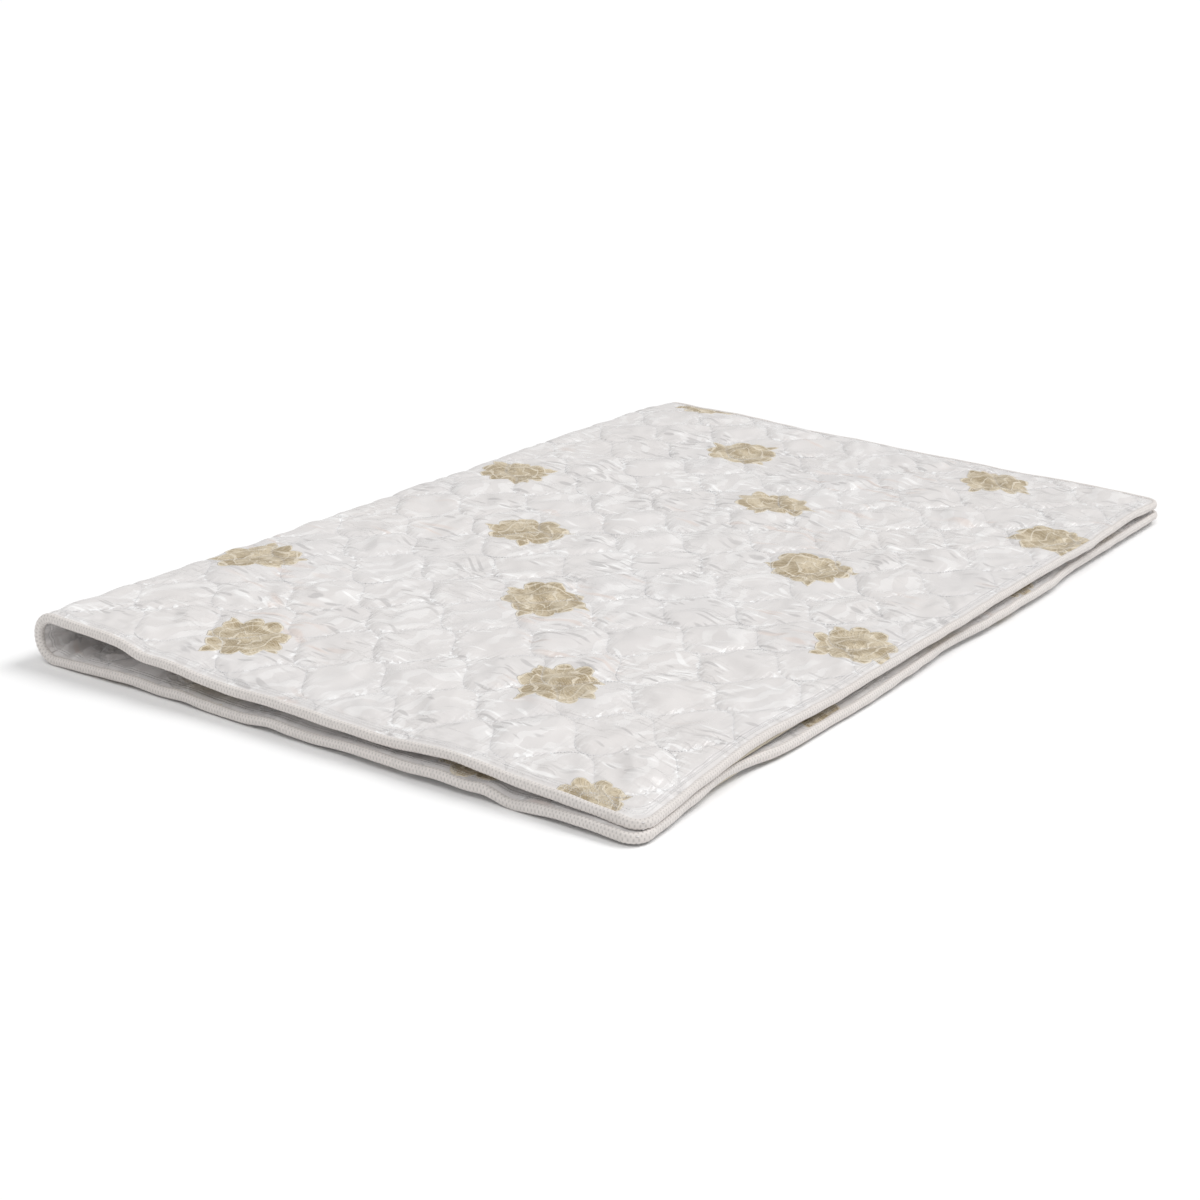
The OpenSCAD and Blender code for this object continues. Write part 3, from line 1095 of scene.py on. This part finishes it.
def padded_arrays(face, first, last, side):
    """Points, triangles, maps and normals of one closed slice of a face."""
    cut = np.s_[first:last + 1]
    points, normals = face["points"][cut], face["normals"][cut]
    rows, cols = points.shape[:2]
    r = np.unique(np.linspace(0, rows - 1, max(2, rows // COARSE + 1)).astype(int))
    c = np.unique(np.linspace(0, cols - 1, cols // COARSE + 1).astype(int))
    back = face["back"][cut][np.ix_(r, c)]
    fine = np.arange(rows * cols).reshape(rows, cols)
    coarse = rows * cols + np.arange(len(r) * len(c)).reshape(len(r), len(c))
    top = split_quads(fine, face["sewn"][cut])
    under = split_quads(coarse, np.zeros(coarse.shape, bool))[:, ::-1]
    rim = [fan(fine[:, 0], coarse[:, 0]), fan(fine[-1], coarse[-1]),
           fan(fine[::-1, -1], coarse[::-1, -1]), fan(fine[0, ::-1], coarse[0, ::-1])]
    faces = np.concatenate([top, under, *rim])
    if side < 0:
        faces = faces[:, ::-1]
    s = np.concatenate([face["s"][cut].ravel(), face["s"][cut][np.ix_(r, c)].ravel()])
    y = np.concatenate([face["y"][cut].ravel(), face["y"][cut][np.ix_(r, c)].ravel()])
    back_normals = -normals[np.ix_(r, c)].reshape(-1, 3)
    return {
        "points": np.concatenate([points.reshape(-1, 3), back.reshape(-1, 3)]),
        "normals": np.concatenate([normals.reshape(-1, 3), back_normals]),
        "faces": faces, "s": s, "y": y}


# %% Maps of a face
INSIDE_ROSE = (0.055, -0.337)
ASKEW = 0.05
print("the inner cloth has a rose at", INSIDE_ROSE)


def face_maps(s, y, side):
    """Three maps: place on the cloth in metres, place in the pattern, distance from the edge.

    The inner cloth is turned over and laid a little askew, with a rose at INSIDE_ROSE.
    """
    gap = edge_gap(s, y)
    cloth_s, cloth_y = s, y
    if side < 0:
        ds, dy = s - INSIDE_ROSE[0], y - INSIDE_ROSE[1]
        cloth_s, cloth_y = ROSE_S + ds - ASKEW * dy, ROSE_Y - dy
    return {
        "cloth": np.stack([cloth_s, cloth_y], -1),
        "quilt": np.stack(pattern(s, y), -1),
        "edge": np.stack([gap, 0 * gap], -1)}


# %% [markdown]
# ## Ride and bake
#
# The two big halves ride on their bodies. In the fold the pad is cut into one strip for
# each hinge, and these strips are baked where they lie in the folded pose; they ride on
# no body.


def bend_over(piece):
    """Bakes a piece's transform into its mesh, where it lies in the folded pose."""
    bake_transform(piece)


def strip_nodes(k, *parts):
    """Names of the plain strip's nodes that a fold piece stands for."""
    return [f"fold{min(k, len(BODIES) - 2)}_{part}" for part in parts]


# %% Make the quilted faces
for word, face, side in (("outer", outer, 1), ("inner", inner, -1)):
    marks = face["breaks"]
    for k in range(len(marks) - 1):
        half = {0: "lower", len(marks) - 2: "upper"}.get(k)
        arrays = padded_arrays(face, marks[k], marks[k + 1], side)
        name = f"{half or f'bend{k}'}_{word}_quilting"
        piece = make_piece(name, arrays["points"], arrays["faces"],
                           face_maps(arrays["s"], arrays["y"], side), satin, arrays["normals"])
        if half:
            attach(piece, half + "_half")
            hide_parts(f"{half}_{word}_cover", f"{half}_{word}_wadding")
        else:
            bend_over(piece)
            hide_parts(*strip_nodes(k, word + "_cover", word + "_wadding"))
        if half:
            print(name, len(arrays["faces"]), "triangles")

# %% [markdown]
# ## The felted core
#
# The core is a plain slab of felt that gives the pad its stiffness. Nothing shows it
# while the pad is whole, so a scaled cube might seem enough, but it has to follow the sag
# of the pad to stay inside the covers. It is one flat oval section carried along the pad.


# %% Make the core
CORE_IN = 0.016
CORE_SIDE = 0.014
CORE_HIGH = 0.0033


def core_arrays(s_low, s_high, count):
    """A slab: a flat oval section across the width, carried from s_low to s_high, with ends."""
    q = np.linspace(0, 2 * math.pi, 97)[:-1]
    wide = half_width - CORE_SIDE
    across = wide * np.sign(np.cos(q)) * np.abs(np.cos(q)) ** 0.12
    high = CORE_HIGH * np.sign(np.sin(q)) * np.abs(np.sin(q)) ** 0.35
    s = np.linspace(s_low, s_high, count)
    ss, yy = np.meshgrid(s, across, indexing="ij")
    points = place(ss, yy, np.broadcast_to(high, ss.shape))
    index = np.arange(ss.size).reshape(ss.shape)
    wrapped = np.concatenate([index, index[:, :1]], 1)
    sides = split_quads(wrapped, np.zeros(wrapped.shape, bool))
    caps = []
    for row, flip in ((0, False), (-1, True)):
        ring = index[row]
        fans = np.stack([np.full(len(ring) - 2, ring[0]), ring[1:-1], ring[2:]], 1)
        caps.append(fans[:, ::-1] if flip else fans)
    return points.reshape(-1, 3), np.concatenate([sides, *caps])[:, ::-1], np.stack([ss, yy], -1)


fold_cuts = [half_len + k * fold_len / len(joints) for k in range(len(joints) + 1)]
core_cuts = [CORE_IN] + fold_cuts + [pad_len - CORE_IN]
for k in range(len(core_cuts) - 1):
    half = {0: "lower", len(core_cuts) - 2: "upper"}.get(k)
    points, faces, cloth = core_arrays(core_cuts[k], core_cuts[k + 1], 60 if half else 5)
    piece = make_piece(f"{half or f'bend{k}'}_core_felt", points, faces,
                       {"cloth": cloth.reshape(-1, 2)}, felt)
    if half:
        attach(piece, half + "_half")
        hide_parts(half + "_core")
    else:
        bend_over(piece)
        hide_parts(*strip_nodes(k, "core"))
print("core pieces made:", len(core_cuts) - 1)

# %% [markdown]
# ## The knitted tape
#
# The tape wraps the edge as a fat bead. A bevelled curve would give a smooth bead, but
# the knit has to be raised on it, so it is a grid: a rounded oval section, taller than
# it is wide, carried once round the pad along the front, over the free end, back along
# the far side and round the other end. The knit is a lattice of small bumps that lean
# both ways. The count of bumps fits the length, so the pattern closes.

# %% The path of the tape
BEAD_W = 0.0046
BEAD_H = 0.0060
BEAD_IN = 0.0050
TURN_R = 0.022
SPAN_S = pad_len - 2 * (BEAD_IN + TURN_R)
SPAN_Y = 2 * (half_width - BEAD_IN - TURN_R)
QUARTER = TURN_R * math.pi / 2
LOOP = 2 * SPAN_S + 2 * SPAN_Y + 4 * QUARTER
KNITS = round(LOOP / 0.0052)
KNIT_RISE = 0.0007


def tape_path(p):
    """Centre of the bead at distance p round the pad, and the way out of the pad there.

    p starts on the front edge just past the lower free end's corner. Each corner is a
    quarter turn, and each side is straight.
    """
    p = np.mod(p, LOOP)
    low = BEAD_IN + TURN_R
    high = low + SPAN_S
    corner = np.array([[high, -SPAN_Y / 2], [high, SPAN_Y / 2], [low, SPAN_Y / 2], [low, -SPAN_Y / 2]])
    spans = np.array([SPAN_S, SPAN_Y, SPAN_S, SPAN_Y])
    starts = np.concatenate([[0], np.cumsum(spans + QUARTER)])
    side = np.clip(np.searchsorted(starts, p, side="right") - 1, 0, 3)
    on = p - starts[side]
    turned = np.clip((on - spans[side]) / QUARTER, 0, 1) * math.pi / 2
    angle = -math.pi / 2 + side * math.pi / 2 + turned
    back = np.minimum(on - spans[side], 0)
    out_s, out_y = np.cos(angle), np.sin(angle)
    s = corner[side, 0] + TURN_R * out_s - out_y * back
    y = corner[side, 1] + TURN_R * out_y + out_s * back
    return s, y, out_s, out_y


print("tape round the pad:", round(LOOP, 3), "m, with", KNITS, "stitches along it")


# %% The bead and its knit
def bead_arrays(p_low, p_high):
    """A length of the bead as a grid: rounds of its section, with the knit raised on it."""
    rounds = max(6, int((p_high - p_low) / 0.0013))
    step = (p_high - p_low) / rounds
    p = p_low + step * np.arange(-1, rounds + 2)
    q = np.linspace(0, 1, 41)
    pp, qq = np.meshgrid(p, q, indexing="ij")
    s, y, out_s, out_y = (w[:, None] for w in tape_path(p))
    a = 2 * math.pi * qq
    swell = 1 + 0.05 * ripple(pp, 0, 0.045, 41) + 0.04 * ripple(pp, 0, 0.17, 42)
    swell = swell * (1 + 0.16 * np.exp(-reach(s) / 0.3))
    side_way = np.sign(np.cos(a)) * np.abs(np.cos(a)) ** 0.85
    up_way = np.sign(np.sin(a)) * np.abs(np.sin(a)) ** 0.85
    phase = 2 * math.pi * pp * KNITS / LOOP
    lattice = 0.25 * (np.cos(phase + 4 * a) + np.cos(phase - 4 * a)) + 0.5
    raised = KNIT_RISE * (lattice ** 0.8 - 0.5)
    wide = (BEAD_W * swell + raised) * side_way
    high = (BEAD_H * swell + raised) * up_way
    wide = wide + 0.0007 * ripple(pp, 0, 0.06, 43)
    points = place(s + out_s * wide, y + out_y * wide, high)
    points[..., 2] = np.maximum(points[..., 2], 0.0003)
    points[:, -1] = points[:, 0]
    wrapped = np.concatenate([points[:, -2:-1], points, points[:, 1:2]], 1)
    n = np.cross(np.gradient(wrapped, axis=0), np.gradient(wrapped, axis=1))[1:-1, 1:-1]
    n = -n / np.linalg.norm(n, axis=-1, keepdims=True)
    keep = points[1:-1]
    knit = np.stack([pp * KNITS / LOOP, qq], -1)[1:-1]
    return keep, n, knit


def tape_piece(name, p_low, p_high):
    """One length of tape, closed by a small fan at each end."""
    points, normals, knit = bead_arrays(p_low, p_high)
    rounds, around = points.shape[0], points.shape[1] - 1
    index = np.arange(rounds * around).reshape(rounds, around)
    wrapped = np.concatenate([index, index[:, :1]], 1)
    grid = np.arange(rounds * (around + 1)).reshape(rounds, around + 1)
    plain = np.zeros(wrapped.shape, bool)
    faces = split_quads(wrapped, plain)[:, ::-1]
    corners = split_quads(grid, plain)[:, ::-1]
    maps = knit.reshape(-1, 2)[corners.ravel()]
    flat = points[:, :-1].reshape(-1, 3)
    ends, end_maps = [], []
    for row, flip in ((0, True), (-1, False)):
        ring = index[row]
        fans = np.stack([np.full(around - 2, ring[0]), ring[1:-1], ring[2:]], 1)
        ends.append(fans[:, ::-1] if flip else fans)
        end_maps.append(np.repeat(knit[row, :1], fans.size, 0))
    faces = np.concatenate([faces, *ends])
    maps = np.concatenate([maps, *end_maps])
    piece = make_piece(name, flat, faces, {"knit": maps}, tape, normals[:, :-1].reshape(-1, 3))
    return piece


# %% Make the tape
def front_p(s):
    """Distance round the tape of a place on the front edge."""
    return s - BEAD_IN - TURN_R


def back_p(s):
    """Distance round the tape of a place on the back edge."""
    return SPAN_S + QUARTER + SPAN_Y + QUARTER + (BEAD_IN + TURN_R + SPAN_S - s)


runs = {
    "lower_tape_front": (0.0, front_p(half_len)),
    "upper_tape_front": (front_p(half_len + fold_len), SPAN_S),
    "upper_tape_end": (SPAN_S, SPAN_S + 2 * QUARTER + SPAN_Y),
    "upper_tape_back": (back_p(BEAD_IN + TURN_R + SPAN_S), back_p(half_len + fold_len)),
    "lower_tape_back": (back_p(half_len), back_p(BEAD_IN + TURN_R)),
    "lower_tape_end": (LOOP - SPAN_Y - 2 * QUARTER, LOOP),
}
for name, (p_low, p_high) in runs.items():
    piece = tape_piece(name, p_low, p_high)
    half, _, where = name.split("_")
    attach(piece, half + "_half")
    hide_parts(f"{half}_binding_{where}")
for k in range(1, len(joints) + 1):
    for where, low, high in (("front", front_p(fold_cuts[k - 1]), front_p(fold_cuts[k])),
                             ("back", back_p(fold_cuts[k]), back_p(fold_cuts[k - 1]))):
        piece = tape_piece(f"bend{k}_tape_{where}", low, high)
        bend_over(piece)
        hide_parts(*strip_nodes(k, "binding_" + where))
print("lengths of tape made:", len(runs) + 2 * len(joints))

# %% [markdown]
# ## Stitches
#
# Each stitch is a short bright dash that dips into the cover at both ends. One stitch
# copied along a curve would do for a single row. There are many rows on two faces, with
# thousands of stitches, so each is only six points between its two needle holes.

# %% Stitches along the rows and the tape
STITCH = 0.0042


def evenly(s, y, gap):
    """Points spaced evenly along a line in the flat pad."""
    length = np.concatenate([[0], np.cumsum(np.hypot(np.diff(s), np.diff(y)))])
    marks = np.arange(0, length[-1], gap)
    return np.interp(marks, length, s), np.interp(marks, length, y)


def stitches(s, y, side, height, wide=0.0005, tall=0.0005, seam_share=0.8):
    """Six points for each stitch between neighbouring marks: two tips, two sides, top, bottom."""
    s0, y0 = s[:-1], y[:-1]
    s1, y1 = s0 + np.diff(s) * seam_share, y0 + np.diff(y) * seam_share
    sm, ym = (s0 + s1) / 2, (y0 + y1) / 2
    run = np.hypot(s1 - s0, y1 - y0)
    ps, py = -(y1 - y0) / run * wide, (s1 - s0) / run * wide
    tips = [place(s0, y0, side * (height - 0.0004)), place(s1, y1, side * (height - 0.0004))]
    sides = [place(sm + ps, ym + py, side * height), place(sm - ps, ym - py, side * height)]
    caps = [place(sm, ym, side * (height + tall)), place(sm, ym, side * (height - tall))]
    points = np.stack(tips + sides + caps, 1)
    shape = np.array([[0, 2, 4], [2, 1, 4], [1, 3, 4], [3, 0, 4],
                      [2, 0, 5], [1, 2, 5], [3, 1, 5], [0, 3, 5]])
    faces = (np.arange(len(s0))[:, None, None] * 6 + shape[None]).reshape(-1, 3)
    return points.reshape(-1, 3), faces[:, ::-1] if side > 0 else faces


print("a stitch is", 1000 * STITCH, "mm from hole to hole")


# %% Sew the rows
def row_marks(j, s_low, s_high):
    """Needle holes of one row between two places along the pad."""
    s = np.linspace(s_low, s_high, 1500)
    y = np.full(s.shape, FIRST_ROW + j * ROW_GAP)
    for _ in range(4):
        u, v = pattern(s, y)
        y = y - (v - row_height(j, u))
    return evenly(s, y, STITCH)


def gather_stitches(s_low, s_high):
    """All row stitches of both faces in this stretch of the pad."""
    points, faces, count = [], [], 0
    for j in ROWS:
        s, y = row_marks(j, s_low, s_high)
        keep = edge_gap(s, y) > 0.019
        if keep.sum() < 3:
            continue
        s, y = s[keep], y[keep]
        for side in (1, -1):
            more, shape = stitches(s, y, side, SEWN + 0.0001)
            close = np.linalg.norm(more[0::6] - more[1::6], axis=1) < 0.008
            shape = shape.reshape(-1, 8, 3)[close].reshape(-1, 3)
            points.append(more)
            faces.append(shape + count)
            count += len(more)
    return np.concatenate(points), np.concatenate(faces)


def drop_loose(points, faces):
    """Keeps only the points that a face uses."""
    used, place_of = np.unique(faces, return_inverse=True)
    return points[used], place_of.reshape(faces.shape)


for half, s_low, s_high in (("lower", 0.015, half_len - 0.001),
                            ("upper", half_len + fold_len + 0.001, pad_len - 0.015)):
    points, faces = drop_loose(*gather_stitches(s_low, s_high))
    points[:, 2] = np.maximum(points[:, 2], 0.0002)
    flat = np.zeros((len(points), 2))
    piece = make_piece(half + "_quilting_stitches", points, faces, {"cloth": flat}, thread)
    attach(piece, half + "_half")
    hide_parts(half + "_quilting_thread")
    print(half, "stitches:", len(faces) // 8)

# %% Stitches that hold the tape
TAPE_ROWS = (0.0085, 0.0125)
TAPE_STITCH = 0.0036


def tape_stitches(p_low, p_high):
    """Two lines of stitches on each face, just inside the bead."""
    points, faces, count = [], [], 0
    for inset in TAPE_ROWS:
        p = np.linspace(p_low, p_high, int((p_high - p_low) / 0.002))
        s, y, out_s, out_y = tape_path(p)
        s, y = evenly(s - out_s * inset, y - out_y * inset, TAPE_STITCH)
        for side in (1, -1):
            more, shape = stitches(s, y, side, SEWN, 0.0004, 0.0004)
            points.append(more)
            faces.append(shape + count)
            count += len(more)
    return np.concatenate(points), np.concatenate(faces)


tape_runs = {
    "lower": (LOOP - SPAN_Y - 2 * QUARTER - front_p(half_len), LOOP + front_p(half_len)),
    "upper": (front_p(half_len + fold_len), back_p(half_len + fold_len)),
}
for half, (p_low, p_high) in tape_runs.items():
    points, faces = tape_stitches(p_low, p_high)
    points[:, 2] = np.maximum(points[:, 2], 0.0002)
    flat = np.zeros((len(points), 2))
    piece = make_piece(half + "_tape_stitches", points, faces, {"cloth": flat}, thread)
    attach(piece, half + "_half")
    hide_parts(half + "_binding_thread")
    print(half, "tape stitches:", len(faces) // 8)

# %% [markdown]
# ## Floor, light and camera
#
# White cloth on white needs soft light from one side, so that each puff has a lit side
# and a shaded one. A wide sun gives soft shadows that are the same over the whole floor,
# and the bright sky fills them. The floor is a little whiter than the cloth.

# %% Floor
FLOOR_R = 60


def studio_floor():
    """A flat disc, far wider than the pad."""
    angle = np.linspace(0, 2 * math.pi, 65)[:-1]
    ring = np.stack([FLOOR_R * np.cos(angle), FLOOR_R * np.sin(angle), 0 * angle], -1)
    points = np.concatenate([[[0, 0, 0]], ring])
    i = np.arange(64)
    faces = np.stack([0 * i, 1 + i, 1 + (i + 1) % 64], 1)
    material, tree = new_material("pale_floor")
    place_of = tree.node("TexCoord", None, None, 3)
    slow = tree.node("TexNoise", None, {"Vector": place_of, "Scale": 0.4})
    colour = slow.mix((0.945, 0.945, 0.945, 1.0), (0.955, 0.955, 0.955, 1.0))
    finish_material(tree, {"Base Color": colour, "Roughness": 0.9, "Specular IOR Level": 0.1})
    floor = make_piece("studio_floor", points, faces, {"cloth": points[:, :2]}, material)
    return floor


studio_floor()
print("floor radius, m:", FLOOR_R)


# %% Lights
def sun(name, azimuth, elevation, strength, width):
    """A distant light from this direction; width is the angle it fills, in degrees."""
    light = bpy.data.lights.new(name, "SUN")
    light.energy, light.angle = strength, math.radians(width)
    lamp = bpy.data.objects.new(name, light)
    lamp.rotation_euler = (math.radians(90 - elevation), 0, math.radians(azimuth))
    bpy.context.scene.collection.objects.link(lamp)
    return lamp


SKY = 0.50
world = bpy.data.worlds.new("sky")
world.use_nodes = True
world.node_tree.nodes["Background"].inputs["Color"].default_value = (1.0, 1.0, 1.0, 1.0)
world.node_tree.nodes["Background"].inputs["Strength"].default_value = SKY
bpy.context.scene.world = world
sun("window", 140, 50, 1.60, 30)
sun("lamp", 20, 62, 0.72, 25)
bpy.context.scene.view_settings.view_transform = "Standard"
print("sky", SKY, "and two suns")

# %% Camera
AZIMUTH = math.radians(35.61)
ELEVATION = math.radians(19.02)
DISTANCE = 3.144
ASIDE = 0.0818
BELOW = 0.0223
away = np.array([math.sin(AZIMUTH) * math.cos(ELEVATION),
                 -math.cos(AZIMUTH) * math.cos(ELEVATION), math.sin(ELEVATION)])
right = np.array([math.cos(AZIMUTH), math.sin(AZIMUTH), 0.0])
up = np.cross(away, right)
lens = bpy.data.cameras.new("camera")
lens.lens, lens.sensor_width = 63.35, 36.0
lens.clip_end = 200.0
camera = bpy.data.objects.new("camera", lens)
camera.location = away * DISTANCE - right * ASIDE - up * BELOW
camera.rotation_euler = (math.pi / 2 - ELEVATION, 0.0, AZIMUTH)
bpy.context.scene.collection.objects.link(camera)
bpy.context.scene.camera = camera
print("camera at", np.round(camera.location, 3))

# %% Finish
bpy.context.view_layer.update()
